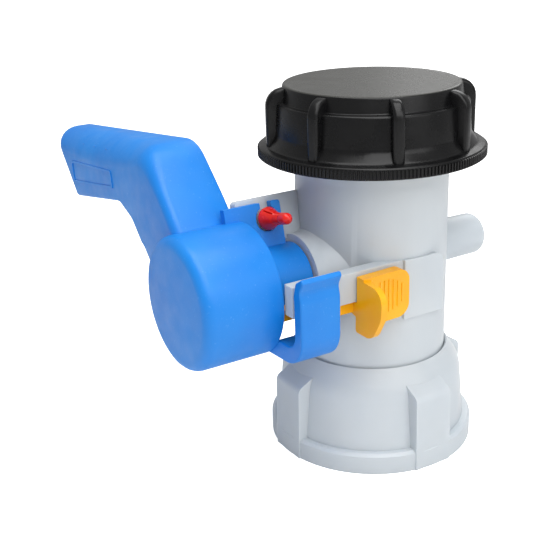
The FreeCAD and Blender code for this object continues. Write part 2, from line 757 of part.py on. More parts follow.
def make_hub(body):
    """The cup, its neck and the ribs between them."""
    clearance = sketch_on(body, "XZ_Plane", "hub_clearance", shift=hub_rim - 4)
    ring(clearance, 0, 0, hub_radius - hub_wall / 2)
    extrude(body, "Pocket", clearance, hub_face - hub_rim + 10, backwards=True)

    front_wall = hub_face - hub_wall - 0.4
    hub = sketch_on(body, "XY_Plane", "hub_profile")
    outline(hub, [
        (0, -hub_face), (hub_radius, -hub_face, hub_edge_radius), (hub_radius, -hub_rim),
        (hub_radius - hub_wall, -hub_rim), (hub_radius - hub_wall, -front_wall, 2.0),
        (handle_neck_radius, -front_wall, 1.0), (handle_neck_radius, -handle_neck_end),
        (handle_neck_bore, -handle_neck_end), (handle_neck_bore, -socket_mouth), (0, -socket_mouth)])
    turn(body, "Revolution", hub)

    rib = sketch_on(body, "XZ_Plane", "hub_rib", shift=hub_rim + 1)
    half = hub_rib_thickness / 2
    near, far = handle_neck_radius - 0.5, hub_radius - hub_wall / 2
    across, along = sine(hub_rib_angle), cosine(hub_rib_angle)
    outline(rib, [
        (near * along + half * across, near * across - half * along),
        (far * along + half * across, far * across - half * along),
        (far * along - half * across, far * across + half * along),
        (near * along - half * across, near * across + half * along)])
    first = extrude(body, "Pad", rib, front_wall - hub_rim)
    repeat_round(body, first, "Y_Axis", hub_rib_count)

    socket = sketch_on(body, "XZ_Plane", "drive_socket", shift=socket_mouth - 1)
    side = drive_square / 2 + running_gap
    outline(socket, [(-side, -side, 0.6), (side, -side, 0.6), (side, side, 0.6), (-side, side, 0.6)])
    extrude(body, "Pocket", socket, socket_floor - socket_mouth + 1, backwards=True)

    groove = sketch_on(body, "XY_Plane", "clip_groove")
    seat = socket_mouth - stem_collar_length - 0.2
    rectangle(groove, handle_neck_bore - 0.5, handle_neck_bore + 0.45,
              -seat, -(seat - handle_clip_thickness))
    turn(body, "Groove", groove)


def make_lock_plate(body):
    """The plate between neck and lever, slotted so that it swings off the lock screw."""
    plate = sketch_on(body, "YZ_Plane", "lock_plate", lean=lean_angle, shift=-plate_back)
    outline(plate, [(-(hub_rim + 6), hub_radius - hub_wall / 2), (-hub_rim - 0.01, hub_radius - hub_wall / 2),
                    (-hub_rim, handle_neck_radius - 0.6), (-plate_reach, handle_neck_radius - 0.6),
                    (-plate_reach, plate_radius, 0.6), (-(hub_rim + 6), plate_radius)])
    extrude(body, "Pad", plate, plate_thickness)

    hole = sketch_on(body, "YZ_Plane", "screw_window", lean=lean_angle, shift=-plate_thickness)
    ring(hole, screw_u, screw_radius_out, screw_skirt + moving_gap)
    extrude(body, "Pocket", hole, plate_thickness * 2, backwards=True)
    slot = sketch_on(body, "YZ_Plane", "screw_slot", lean=lean_angle, shift=-plate_thickness)
    half = screw_grip + moving_gap / 2
    rectangle(slot, screw_u - half, screw_u + half, screw_radius_out, plate_radius + 2)
    extrude(body, "Pocket", slot, plate_thickness * 2, backwards=True)


def make_guide_hook(body):
    """The hook that closes round the body's rail when the valve is shut."""
    hook = sketch_on(body, "XZ_Plane", "guide_hook", shift=hook_end)
    inner = hook_out - hook_wall
    foot = (hub_radius * 0.47, hub_radius * -0.87)
    outline(hook, [
        foot, (hook_out, -hook_drop, 11.0), (hook_out, 4.5, 6.0), (hook_out - 0.9, 8.0, 3.0),
        (hook_out + 1.2, hook_top - 1.4, 0.5), (hook_out, hook_top, 0.5),
        (inner - 0.3, 6.2, 0.8), (inner, 2.5, 3.0), (inner, -hook_floor, 5.0),
        (hub_radius - 5.2, -hook_floor), (hub_radius * 0.35, hub_radius * -0.80)])
    extrude(body, "Pad", hook, hub_rim - hook_end)
    bridge = sketch_on(body, "XZ_Plane", "hook_bridge", shift=hub_rim - 0.5)
    outline(bridge, [
        foot, (hub_radius * 0.80, hub_radius * -0.565),
        (hub_radius * 0.74, hub_radius * -0.50), (hub_radius * 0.40, hub_radius * -0.797)])
    extrude(body, "Pad", bridge, 6)


def make_lever_handle():
    body = new_body("lever_handle", at_stem=True)
    make_lever(body)
    make_hub(body)
    make_lock_plate(body)
    make_guide_hook(body)
    return body


def make_handle_clip():
    near = socket_mouth - stem_collar_length - 0.2
    return turned_part("handle_clip", [
        (journal_radius + 0.3, -near), (handle_neck_bore + 0.4, -near),
        (handle_neck_bore + 0.4, -(near - handle_clip_thickness)),
        (journal_radius + 0.3, -(near - handle_clip_thickness))], along_stem=True, angle=325)


# ---------------------------------------------------------------- locking slide and lock screw

def make_locking_slide():
    body = new_body("locking_slide", at_stem=True)
    gap = moving_gap
    arm_top = -rail_foot - gap
    arm_foot = arm_top - slide_wall
    lip_out = rail_face - rail_thickness - gap
    lip_in = lip_out - 2.2

    tab_back = slide_front - slide_tab_thickness
    tab = sketch_on(body, "XZ_Plane", "slide_tab", shift=tab_back)
    face = rail_face + gap + 0.2
    outline(tab, [
        (face, rail_top - 2.1), (slide_tab_reach + 0.3, rail_top - 3.1, 5.5),
        (slide_tab_reach - 0.4, -5.0, 8.0), (slide_tab_reach - 5.5, -slide_tab_drop, 6.0),
        (face - 0.8, -slide_tab_drop, 1.2), (face - 0.6, arm_foot - 1.3, 0.6),
        (lip_out, arm_foot), (lip_out, arm_top), (face, arm_top)])
    extrude(body, "Pad", tab, slide_tab_thickness)

    arm = sketch_on(body, "XZ_Plane", "slide_arm", shift=tab_back)
    outline(arm, [
        (lip_in, arm_foot), (rail_face - 1.6, arm_foot), (rail_face - 1.6, arm_top),
        (lip_out, arm_top), (lip_out, rail_foot * 0.6), (lip_in, rail_foot * 0.6)])
    extrude(body, "Pad", arm, slide_arm_end - tab_back)

    tongue = sketch_on(body, "XZ_Plane", "slide_tongue", shift=slide_arm_end - 6)
    outline(tongue, [
        (tongue_inside, arm_foot), (lip_out, arm_foot), (lip_out, arm_top), (tongue_inside, arm_top)])
    extrude(body, "Pad", tongue, 6)
    tip = sketch_on(body, "XZ_Plane", "tongue_tip", shift=slide_arm_end - 1)
    rectangle(tip, tongue_inside, tongue_outside, arm_foot, arm_top)
    extrude(body, "Pad", tip, tongue_tip - slide_arm_end + 1)

    plate = sketch_on(body, "YZ_Plane", "slide_plate", shift=face)
    outline(plate, [
        (-slide_front, arm_foot - 4.1), (-slide_back, arm_foot - 3.5, 5.0),
        (-slide_back, rail_top - 1.0, 4.5), (-slide_front, rail_top - 1.5)])
    extrude(body, "Pad", plate, slide_wall)

    def fold(edge):
        box = edge.BoundBox
        at_plate = abs(box.XMin - face.value - slide_wall.value) < 0.01 and box.XLength < 0.01
        return at_plate and abs(box.YMin + tab_back.value) < 0.01 and box.ZLength > 5

    round_edges(body, 1.8, fold, "slide_fold_round")
    return body


def make_lock_screw():
    body = new_body("lock_screw")
    profile = sketch_on(body, "XZ_Plane", "screw_profile")
    tail = -(plate_back + 0.5 + ear_thickness)
    skirt = plate_back + 0.3
    grip, waist = screw_grip, screw_grip - 0.35
    outline(profile, [
        (0, tail), (screw_shank, tail), (screw_shank, skirt), (screw_skirt, skirt),
        (screw_skirt, skirt + 0.9), (grip + 0.2, skirt + 5.6, 2.0), (waist, skirt + 6.6),
        (grip, skirt + 7.3), (waist, skirt + 8.0), (grip, skirt + 8.7), (waist, skirt + 9.4),
        (grip + 0.1, skirt + 10.8, 1.5), (grip - 0.2, screw_length - 1.2, 1.2), (0, screw_length)])
    turn(body, "Revolution", profile)
    place = (-(screw_radius_out * sine(lean_angle)), -screw_reach,
             stem_height + screw_radius_out * cosine(lean_angle))
    body.Placement = FreeCAD.Placement(
        Vector(*[item.value for item in place]),
        FreeCAD.Rotation(Vector(0, 1, 0), 90 - lean_angle.value))
    for axis, item in zip("xyz", place):
        body.setExpression(".Placement.Base." + axis, item.text)
    body.setExpression(".Placement.Rotation.Angle", (90 - lean_angle).text)
    return body


# ---------------------------------------------------------------- build, check and write

parts = [
    make_valve_body(), make_nut_snap_ring(), make_inlet_gasket(), make_union_nut(),
    make_outlet_cap(), make_cap_gasket(), make_stem(), make_o_ring("inner_o_ring", inner_seal_place),
    make_o_ring("outer_o_ring", outer_seal_place), make_gland_bush(), make_gland_clip(), make_pivot_bush(), make_butterfly_disc(), make_disc_seal_ring(),
    make_disc_pin(), make_lever_handle(), make_handle_clip(), make_locking_slide(),
    make_lock_screw()]
doc.recompute()

for item in doc.Objects:
    if "Invalid" in item.State or "Error" in item.State:
        raise RuntimeError("failed object: " + item.Name)
os.makedirs("parts", exist_ok=True)
for part in parts:
    if part.Shape.isNull() or not part.Shape.isValid():
        raise RuntimeError("bad shape: " + part.Label)
    part.Shape.exportStep("parts/%s.step" % part.Label)
    print("%-16s solids %d  volume %.0f  %s" % (
        part.Label, len(part.Shape.Solids), part.Shape.Volume, part.Shape.BoundBox))
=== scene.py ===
"""The look of the container valve: its pieces, finishes, light and camera.

+Z is the flow axis up to the capped outlet, the stem lies along Y with the
blue handle at -Y, and +X is the side of the yellow locking slide.  Lengths in
the piece functions are millimetres, turned into metres by MM.
"""
import bpy
import bmesh
from math import cos, pi, radians, sin, tan
from mathutils import Matrix, Vector


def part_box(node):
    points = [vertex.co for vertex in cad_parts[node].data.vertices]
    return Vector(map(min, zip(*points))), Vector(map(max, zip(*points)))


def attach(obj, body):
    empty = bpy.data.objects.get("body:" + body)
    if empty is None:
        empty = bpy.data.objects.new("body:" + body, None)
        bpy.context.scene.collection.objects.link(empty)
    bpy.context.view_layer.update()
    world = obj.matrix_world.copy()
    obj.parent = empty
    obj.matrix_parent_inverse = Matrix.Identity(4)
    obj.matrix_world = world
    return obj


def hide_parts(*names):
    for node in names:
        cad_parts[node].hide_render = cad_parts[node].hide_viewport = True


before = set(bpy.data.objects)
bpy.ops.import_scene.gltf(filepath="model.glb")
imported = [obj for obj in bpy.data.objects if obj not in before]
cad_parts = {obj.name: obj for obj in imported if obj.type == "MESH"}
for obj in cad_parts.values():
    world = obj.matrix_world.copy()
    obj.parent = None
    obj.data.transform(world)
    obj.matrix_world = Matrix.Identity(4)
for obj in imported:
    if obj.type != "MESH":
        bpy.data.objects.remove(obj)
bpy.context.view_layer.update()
scene = bpy.context.scene
MM = 0.001

# Places taken from the frame.
tube_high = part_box("valve_body")[1]
cap_low, cap_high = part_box("outlet_cap")
stem_low, stem_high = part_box("stem")
STEM_UP = (stem_low[2] + stem_high[2]) / 2


# ---------------------------------------------------------------- finishes

def linear(red, green, blue):
    """A display colour of 0 to 255 as the linear colour a shader takes."""
    def channel(value):
        value /= 255
        return value / 12.92 if value <= 0.04045 else ((value + 0.055) / 1.055) ** 2.4
    return channel(red), channel(green), channel(blue), 1.0


class Finish:
    """A material under construction, with short names for the nodes it uses."""

    def __init__(self, name):
        self.material = bpy.data.materials.new(name)
        self.material.use_nodes = True
        self.tree = self.material.node_tree
        self.shader = self.tree.nodes["Principled BSDF"]
        self.place = self.add("ShaderNodeTexCoord").outputs["Object"]

    def add(self, kind):
        return self.tree.nodes.new(kind)

    def link(self, source, target):
        self.tree.links.new(source, target)

    def noise(self, scale, detail=2.0, roughness=0.5, stretch=None):
        """Noise in the piece's own coordinates, at features of about 1/scale metres."""
        node = self.add("ShaderNodeTexNoise")
        node.inputs["Scale"].default_value = scale
        node.inputs["Detail"].default_value = detail
        node.inputs["Roughness"].default_value = roughness
        if stretch is None:
            self.link(self.place, node.inputs["Vector"])
        else:
            mapping = self.add("ShaderNodeMapping")
            mapping.inputs["Scale"].default_value = stretch
            self.link(self.place, mapping.inputs["Vector"])
            self.link(mapping.outputs["Vector"], node.inputs["Vector"])
        return node.outputs["Fac"]

    def spread(self, value, low, high, start=0.3, end=0.7):
        """The value stretched from start..end to low..high."""
        node = self.add("ShaderNodeMapRange")
        node.inputs["From Min"].default_value = start
        node.inputs["From Max"].default_value = end
        node.inputs["To Min"].default_value = low
        node.inputs["To Max"].default_value = high
        self.link(value, node.inputs["Value"])
        return node.outputs["Result"]

    def blend(self, amount, first, second):
        """Two colours, or colour sockets, mixed by a value."""
        node = self.add("ShaderNodeMix")
        node.data_type = "RGBA"
        self.link(amount, node.inputs["Factor"])
        for socket, colour in ((node.inputs[6], first), (node.inputs[7], second)):
            if isinstance(colour, tuple):
                socket.default_value = colour
            else:
                self.link(colour, socket)
        return node.outputs[2]

    def bump(self, height, strength, distance):
        """Relief added on top of any relief there already is."""
        node = self.add("ShaderNodeBump")
        node.inputs["Strength"].default_value = strength
        node.inputs["Distance"].default_value = distance
        self.link(height, node.inputs["Height"])
        before = self.shader.inputs["Normal"].links
        if before:
            self.link(before[0].from_socket, node.inputs["Normal"])
        self.link(node.outputs["Normal"], self.shader.inputs["Normal"])

    def set(self, **sockets):
        for name, value in sockets.items():
            self.shader.inputs[name.replace("_", " ")].default_value = value


def milky_polyethylene():
    """Natural polyethylene: nearly white, slightly cool where it is thick, with a satin skin."""
    finish = Finish("milky_polyethylene")
    patches = finish.spread(finish.noise(22, 3), 0, 1)
    colour = finish.blend(patches, linear(190, 198, 205), linear(202, 208, 212))
    finish.link(colour, finish.shader.inputs["Base Color"])
    finish.link(finish.spread(finish.noise(60, 4), 0.30, 0.42), finish.shader.inputs["Roughness"])
    finish.set(Subsurface_Weight=0.35, Subsurface_Scale=0.004, IOR=1.5)
    finish.shader.inputs["Subsurface Radius"].default_value = (1.0, 1.0, 1.0)
    finish.bump(finish.noise(260, 3), 0.10, 0.0004)
    finish.bump(finish.noise(35, 2), 0.12, 0.0015)
    return finish.material


def blue_polypropylene():
    """Fibre filled blue plastic, with the pale specks and scuffs such handles have."""
    finish = Finish("blue_polypropylene")
    clouds = finish.spread(finish.noise(30, 3), 0, 1)
    base = finish.blend(clouds, linear(12, 122, 214), linear(20, 134, 224))
    specks = finish.spread(finish.noise(900, 4, 0.65), 0, 0.30, 0.62, 0.76)
    colour = finish.blend(specks, base, linear(120, 190, 245))
    finish.link(colour, finish.shader.inputs["Base Color"])
    finish.link(finish.spread(finish.noise(140, 3), 0.34, 0.50), finish.shader.inputs["Roughness"])
    finish.set(IOR=1.48)
    finish.bump(finish.noise(1400, 3), 0.12, 0.0002)
    finish.bump(finish.noise(90, 2), 0.10, 0.0008)
    return finish.material


def black_polypropylene():
    """Moulded black plastic: glossy walls with a fine eggshell skin, and the cap's top face painted light
    grey as a painted reflection of the white surroundings.
    """
    finish = Finish("black_polypropylene")
    clouds = finish.spread(finish.noise(40, 3), 0, 1)
    moulded = finish.blend(clouds, linear(9, 9, 10), linear(15, 15, 16))
    height = finish.add("ShaderNodeSeparateXYZ")
    finish.link(finish.place, height.inputs["Vector"])
    # Painted reflection: above the crown line the top face is blended to light grey, standing in for the
    # white surroundings it reflects.
    crown = cap_high[2]
    top_painted_reflection = finish.spread(height.outputs["Z"], 0, 1, crown - 0.6 * MM, crown - 0.4 * MM)
    colour = finish.blend(top_painted_reflection, moulded, linear(60, 60, 57))
    finish.link(colour, finish.shader.inputs["Base Color"])
    finish.link(finish.spread(finish.noise(120, 3), 0.22, 0.34), finish.shader.inputs["Roughness"])
    finish.set(IOR=1.5, Specular_IOR_Level=0.3)
    finish.bump(finish.noise(900, 3), 0.10, 0.0002)
    return finish.material


def yellow_polyethylene():
    finish = Finish("yellow_polyethylene")
    clouds = finish.spread(finish.noise(70, 3), 0, 1)
    colour = finish.blend(clouds, linear(246, 170, 4), linear(250, 184, 10))
    finish.link(colour, finish.shader.inputs["Base Color"])
    finish.link(finish.spread(finish.noise(200, 3), 0.32, 0.46), finish.shader.inputs["Roughness"])
    finish.set(Subsurface_Weight=0.15, Subsurface_Scale=0.002)
    finish.bump(finish.noise(1000, 3), 0.12, 0.0002)
    return finish.material


def red_nylon():
    finish = Finish("red_nylon")
    clouds = finish.spread(finish.noise(160, 3), 0, 1)
    colour = finish.blend(clouds, linear(216, 24, 18), linear(232, 38, 28))
    finish.link(colour, finish.shader.inputs["Base Color"])
    finish.link(finish.spread(finish.noise(300, 2), 0.16, 0.28), finish.shader.inputs["Roughness"])
    finish.bump(finish.noise(900, 2), 0.08, 0.0002)
    return finish.material


def natural_nylon():
    """Opaque off-white plastic of the stem, disc and bushes."""
    finish = Finish("natural_nylon")
    clouds = finish.spread(finish.noise(80, 3), 0, 1)
    colour = finish.blend(clouds, linear(214, 215, 210), linear(226, 227, 223))
    finish.link(colour, finish.shader.inputs["Base Color"])
    finish.link(finish.spread(finish.noise(240, 3), 0.36, 0.50), finish.shader.inputs["Roughness"])
    finish.bump(finish.noise(800, 3), 0.12, 0.0002)
    return finish.material


def black_rubber():
    finish = Finish("black_rubber")
    clouds = finish.spread(finish.noise(200, 3), 0, 1)
    colour = finish.blend(clouds, linear(24, 24, 25), linear(38, 38, 39))
    finish.link(colour, finish.shader.inputs["Base Color"])
    finish.link(finish.spread(finish.noise(300, 3), 0.55, 0.70), finish.shader.inputs["Roughness"])
    finish.bump(finish.noise(1200, 3), 0.20, 0.0002)
    return finish.material


def foamed_liner():
    """The pale pressed foam of the cap's gasket."""
    finish = Finish("foamed_liner")
    cells = finish.spread(finish.noise(1500, 4), 0, 1)
    colour = finish.blend(cells, linear(222, 222, 216), linear(240, 240, 236))
    finish.link(colour, finish.shader.inputs["Base Color"])
    finish.link(finish.spread(finish.noise(900, 3), 0.60, 0.80), finish.shader.inputs["Roughness"])
    finish.bump(finish.noise(2200, 3), 0.30, 0.0002)
    return finish.material


def spring_steel():
    finish = Finish("spring_steel")
    drawn = finish.spread(finish.noise(600, 3, stretch=(1, 8, 1)), 0, 1)
    colour = finish.blend(drawn, linear(176, 178, 180), linear(204, 205, 206))
    finish.link(colour, finish.shader.inputs["Base Color"])
    finish.link(finish.spread(finish.noise(900, 3), 0.22, 0.36), finish.shader.inputs["Roughness"])
    finish.set(Metallic=1.0)
    finish.bump(finish.noise(1500, 2), 0.06, 0.0001)
    return finish.material


MILKY = milky_polyethylene()
BLUE = blue_polypropylene()
BLACK = black_polypropylene()
YELLOW = yellow_polyethylene()
RED = red_nylon()
NYLON = natural_nylon()
RUBBER = black_rubber()
FOAM = foamed_liner()
STEEL = spring_steel()


# ---------------------------------------------------------------- shared tools

def shade(mesh, sharp_angle):
    """Smooth shading with creases where faces meet at more than the angle."""
    bm = bmesh.new()
    bm.from_mesh(mesh)
    for face in bm.faces:
        face.smooth = True
    for edge in bm.edges:
        edge.smooth = len(edge.link_faces) == 2 and edge.calc_face_angle(0) < radians(sharp_angle)
    bm.to_mesh(mesh)
    bm.free()


def piece(name, bm, finish, body, sharp_angle=35, edge_round=0.0, round_angle=38):
    """Turn a finished bmesh into a piece that rides on its body."""
    mesh = bpy.data.meshes.new(name)
    bm.to_mesh(mesh)
    bm.free()
    shade(mesh, sharp_angle)
    mesh.materials.append(finish)
    made = bpy.data.objects.new(name, mesh)
    scene.collection.objects.link(made)
    if edge_round:
        bevel = made.modifiers.new("edge_round", "BEVEL")
        bevel.width = edge_round * MM
        bevel.segments = 3
        bevel.limit_method = "ANGLE"
        bevel.angle_limit = radians(round_angle)
        bevel.harden_normals = True
    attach(made, body)
    return made


def smooth_copy(node, finish, body, sharp_angle=30, edge_round=0.0):
    """A welded, smooth shaded copy of a solid that stands for its node."""
    bm = bmesh.new()
    bm.from_mesh(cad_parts[node].data)
    bmesh.ops.remove_doubles(bm, verts=bm.verts, dist=1e-6)
    bmesh.ops.dissolve_limit(bm, angle_limit=radians(0.4), verts=bm.verts, edges=bm.edges)
    made = piece(node + "_skin", bm, finish, body, sharp_angle, edge_round, sharp_angle)
    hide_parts(node)
    return made


def finish_node(node, finish):
    """Give a solid that stays as it is its material."""
    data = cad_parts[node].data
    data.materials.clear()
    data.materials.append(finish)


def spot(axis, u, v, along):
    """A point in metres: u and v across the axis, in X, Y, Z order, and the rest along it."""
    places = {"X": (along, u, v), "Y": (u, along, v), "Z": (u, v, along)}
    return Vector(places[axis]) * MM


def corner_reach(before, corner, after, radius):
    """How far from a corner its rounding of the radius begins."""
    towards_before = (Vector(before[:2]) - Vector(corner[:2])).normalized()
    towards_after = (Vector(after[:2]) - Vector(corner[:2])).normalized()
    half = towards_before.angle(towards_after) / 2
    return radius * MM * cos(half) / sin(half)


def slab(corners, axis, start, end):
    """A prism of an outline of (u, v) or (u, v, radius) corners, from start to end along the axis."""
    bm = bmesh.new()
    verts = [bm.verts.new(spot(axis, corner[0], corner[1], start)) for corner in corners]
    face = bm.faces.new(verts)
    copy = bmesh.ops.extrude_face_region(bm, geom=[face])["geom"]
    lifted = [item for item in copy if isinstance(item, bmesh.types.BMVert)]
    shift = spot(axis, 0, 0, end) - spot(axis, 0, 0, start)
    bmesh.ops.translate(bm, verts=lifted, vec=shift)
    uprights = []
    for vert in verts:
        uprights.append([edge for edge in vert.link_edges if edge.other_vert(vert) in lifted][0])
    for index, corner in enumerate(corners):
        if len(corner) == 3:
            reach = corner_reach(corners[index - 1], corner, corners[(index + 1) % len(corners)], corner[2])
            bmesh.ops.bevel(bm, geom=[uprights[index]], offset=reach, segments=max(4, int(corner[2] * 1.2)),
                            profile=0.5, affect="EDGES", material=-1)
    bmesh.ops.recalc_face_normals(bm, faces=bm.faces)
    return bm


def turned(profile, axis, centre, steps=96):
    """A ring or plug spun from (radius, along) or (radius, along, rounding) corners of a closed outline."""
    bm = bmesh.new()
    across = {"X": "Y", "Y": "X", "Z": "X"}[axis]
    out = {"X": Vector((1, 0, 0)), "Y": Vector((0, 1, 0))}[across]
    along = {"X": Vector((1, 0, 0)), "Y": Vector((0, 1, 0)), "Z": Vector((0, 0, 1))}[axis]
    verts = [bm.verts.new(Vector(centre) + (out * corner[0] + along * corner[1]) * MM) for corner in profile]
    face = bm.faces.new(verts)
    for index, corner in enumerate(profile):
        if len(corner) == 3:
            reach = corner_reach(profile[index - 1], corner, profile[(index + 1) % len(profile)], corner[2])
            bmesh.ops.bevel(bm, geom=[verts[index]], offset=reach, segments=5, profile=0.5,
                            affect="VERTICES", material=-1)
    face = bm.faces[:][0]
    ring = list(face.edges)
    bmesh.ops.delete(bm, geom=[face], context="FACES_ONLY")
    on_axis = [edge for edge in ring if max(
        (vert.co - Vector(centre)).cross(along).length for vert in edge.verts) < 1e-6]
    for edge in on_axis:
        bm.edges.remove(edge)
    bmesh.ops.spin(bm, geom=bm.verts[:] + bm.edges[:], cent=centre, axis=along, angle=2 * pi,
                   steps=steps, use_merge=True)
    bmesh.ops.remove_doubles(bm, verts=bm.verts, dist=1e-6)
    bmesh.ops.recalc_face_normals(bm, faces=bm.faces)
    return bm


def join(*parts):
    """Several bmeshes as one."""
    whole = bmesh.new()
    for part in parts:
        mesh = bpy.data.meshes.new("part")
        part.to_mesh(mesh)
        part.free()
        whole.from_mesh(mesh)
        bpy.data.meshes.remove(mesh)
    return whole


def round_the_axis(bm, count, axis, centre, first=0.0):
    """The shape repeated count times round an axis, the first turned by an angle in degrees."""
    along = {"Y": Vector((0, 1, 0)), "Z": Vector((0, 0, 1))}[axis]
    bmesh.ops.rotate(bm, verts=bm.verts, cent=centre, matrix=Matrix.Rotation(radians(first), 3, along))
    source = bm.verts[:] + bm.edges[:] + bm.faces[:]
    for number in range(1, count):
        copy = bmesh.ops.duplicate(bm, geom=source)["geom"]
        verts = [item for item in copy if isinstance(item, bmesh.types.BMVert)]
        turn = Matrix.Rotation(2 * pi * number / count, 3, along)
        bmesh.ops.rotate(bm, verts=verts, cent=centre, matrix=turn)
    return bm


def temporary(bm):
    mesh = bpy.data.meshes.new("temporary")
    bm.to_mesh(mesh)
    bm.free()
    made = bpy.data.objects.new("temporary", mesh)
    scene.collection.objects.link(made)
    return made


def combined(base, operation, *tools, bevel_weights=None):
    """The base cut by, or joined with, the tools, as a new bmesh; the base's edge weights round it first."""
    base_piece = temporary(base)
    if bevel_weights:
        bevel = base_piece.modifiers.new("rounding", "BEVEL")
        bevel.width = bevel_weights * MM
        bevel.segments = 8
        bevel.limit_method = "WEIGHT"
        bevel.use_clamp_overlap = False
    tool_pieces = [temporary(tool) for tool in tools]
    for tool_piece in tool_pieces:
        step = base_piece.modifiers.new("combine", "BOOLEAN")
        step.operation = operation
        step.solver = "EXACT"
        step.object = tool_piece
    evaluated = base_piece.evaluated_get(bpy.context.evaluated_depsgraph_get())
    result = bmesh.new()
    result.from_mesh(evaluated.to_mesh())
    evaluated.to_mesh_clear()
    for item in [base_piece] + tool_pieces:
        mesh = item.data
        bpy.data.objects.remove(item)
        bpy.data.meshes.remove(mesh)
    bmesh.ops.remove_doubles(result, verts=result.verts, dist=1e-6)
    return result


def helix(section, turns, pitch, steps_a_turn=64):
    """A thread: a section of (radius, height) corners swept up a helix, with blunt ends."""
    bm = bmesh.new()
    verts = [bm.verts.new(Vector((radius, 0, height)) * MM) for radius, height in section]
    face = bm.faces.new(verts)
    steps = int(turns * steps_a_turn)
    rise = Vector((0, 0, pitch * turns / steps)) * MM
    bmesh.ops.spin(bm, geom=[face], cent=(0, 0, 0), axis=(0, 0, 1), dvec=rise,
                   angle=2 * pi * turns, steps=steps, use_merge=False)
    bmesh.ops.recalc_face_normals(bm, faces=bm.faces)
    return bm


# ---------------------------------------------------------------- the blue handle

STEM = Vector((0, 0, STEM_UP))
RISE = STEM_UP / MM
LEAN = radians(14)
RIM, FACE, LEVER_FRONT = -54.0, -84.2, -78.0


def rel(corners):
    """Outline corners given from the stem axis, raised to the frame."""
    return [(corner[0], corner[1] + RISE) + tuple(corner[2:]) for corner in corners]


def lever_back(x):
    """Where the lever's rear face lies: it draws forwards towards the tip."""
    return RIM - 9.0 * max(0.0, -x - 24.1) / 122.2


def rounded_path(corners):
    """Points along a chain of (u, v) or (u, v, radius) corners."""
    points = [Vector(corners[0][:2])]
    for before, corner, after in zip(corners, corners[1:], corners[2:]):
        here = Vector(corner[:2])
        if len(corner) == 2:
            points.append(here)
            continue
        arriving = (here - Vector(before[:2])).normalized()
        leaving = (Vector(after[:2]) - here).normalized()
        turn = arriving.angle_signed(leaving)
        reach = corner[2] * abs(tan(turn / 2))
        start, end = here - arriving * reach, here + leaving * reach
        steps = max(2, int(abs(turn) / radians(6)))
        for step in range(steps + 1):
            share = step / steps
            points.append(start * (1 - share) ** 2 + here * 2 * share * (1 - share) + end * share ** 2)
    points.append(Vector(corners[-1][:2]))
    return points


def path_point(path, x):
    """The point of a path that runs towards -X at a given x."""
    for first, second in zip(path, path[1:]):
        if first.x >= x >= second.x and first.x > second.x:
            return first.lerp(second, (first.x - x) / (first.x - second.x))
    return path[-1].copy()


def arc(centre, radius, start, end, steps):
    """Points on an arc in (across, y), angles in degrees."""
    angles = [radians(start + (end - start) * step / steps) for step in range(steps + 1)]
    return [(centre[0] + radius * cos(angle), centre[1] + radius * sin(angle)) for angle in angles]


LEVER_WALL, TIP_ROUND = 2.6, 2.2


def lever_section(low, high, inset, top_round, open_back):
    """One closed section of the lever's trough, from its lower edge round to its inner wall."""
    back = lever_back((low.x + high.x) / 2)
    height = (high - low).length
    front = LEVER_FRONT + inset
    upper = height - inset
    top_round = min(top_round, back - front - 2)
    inner = max(0.6, top_round - LEVER_WALL)
    floor = front + LEVER_WALL
    outside = [(inset, back)] + arc((inset + 1.4, front + 1.4), 1.4, 180, 270, 4)
    outside += arc((upper - top_round, front + top_round), top_round, 270, 360, 10)
    outside += arc((upper - 1.2, back - 1.2), 1.2, 0, 90, 3)
    inside = [(upper - LEVER_WALL, back)]
    inside += arc((upper - LEVER_WALL - inner, floor + inner), inner, 360, 270, 8)
    inside += arc((inset + LEVER_WALL + 0.6, floor + 0.6), 0.6, 270, 180, 3)
    inside += [(inset + LEVER_WALL, back)]
    if not open_back:
        inside = [(across, back) for across, depth in inside]
    way = (high - low).normalized()
    loop = []
    for across, depth in outside + inside:
        place = low + way * across
        loop.append(Vector((place.x, depth, place.y + RISE)) * MM)
    return loop


def make_lever():
    """The bent trough from the hub to the tip, lofted through sections between its two edges."""
    upper = rounded_path([(-2, 15.9), (-32, 48.6, 14), (-126.3, 39.4)])
    lower = rounded_path([(-24, -2.6), (-36.6, 10.0), (-38.2, 10.4), (-46, 18.2, 8),
                          (-57.5, 22.6, 5), (-103.8, 14.2)])
    ends = [(-2, -24), (-20, -36), (-46, -57), (-126.3, -103.8)]
    stations = []
    for (first_up, first_low), (last_up, last_low), steps in zip(ends, ends[1:], (5, 16, 18)):
        for step in range(steps):
            share = step / steps
            stations.append((first_up + (last_up - first_up) * share,
                             first_low + (last_low - first_low) * share, 0, True))
    closed_at = stations[-1][:2]
    stations.append(closed_at + (0, False))
    for step in range(6):
        angle = pi / 2 * step / 5
        short = TIP_ROUND * (1 - sin(angle))
        stations.append((ends[-1][0] + short, ends[-1][1] + short, TIP_ROUND * (1 - cos(angle)), False))
    bm = bmesh.new()
    loops = []
    for up_x, low_x, inset, open_back in stations:
        share = min(1.0, max(0.0, (-up_x - 16) / 30))
        top_round = 3.5 + 7.5 * share * share * (3 - 2 * share)
        low, high = path_point(lower, low_x), path_point(upper, up_x)
        section = lever_section(low, high, inset, top_round, open_back)
        loops.append([bm.verts.new(place) for place in section])
    for one, other in zip(loops, loops[1:]):
        for index in range(len(one)):
            after = (index + 1) % len(one)
            bm.faces.new((one[index], one[after], other[after], other[index]))
    bm.faces.new(loops[0])
    bm.faces.new(loops[-1])
    bmesh.ops.remove_doubles(bm, verts=bm.verts, dist=2e-6)
    bmesh.ops.recalc_face_normals(bm, faces=bm.faces)
    ribs = []
    for out in (70.5, 83.0, 94.6):
        foot, head = 22.6 - (out - 57.5) * 0.18 + 2.5, 48.6 - (out - 32) * 0.0976 - 4.2
        ribs.append(slab(rel([(-out - 1, foot), (-out + 1, foot), (-out + 1, head), (-out - 1, head)]),
                         "Y", -76.0, -63.5))
    return piece("lever_shell", join(bm, *ribs), BLUE, "handle", 40)


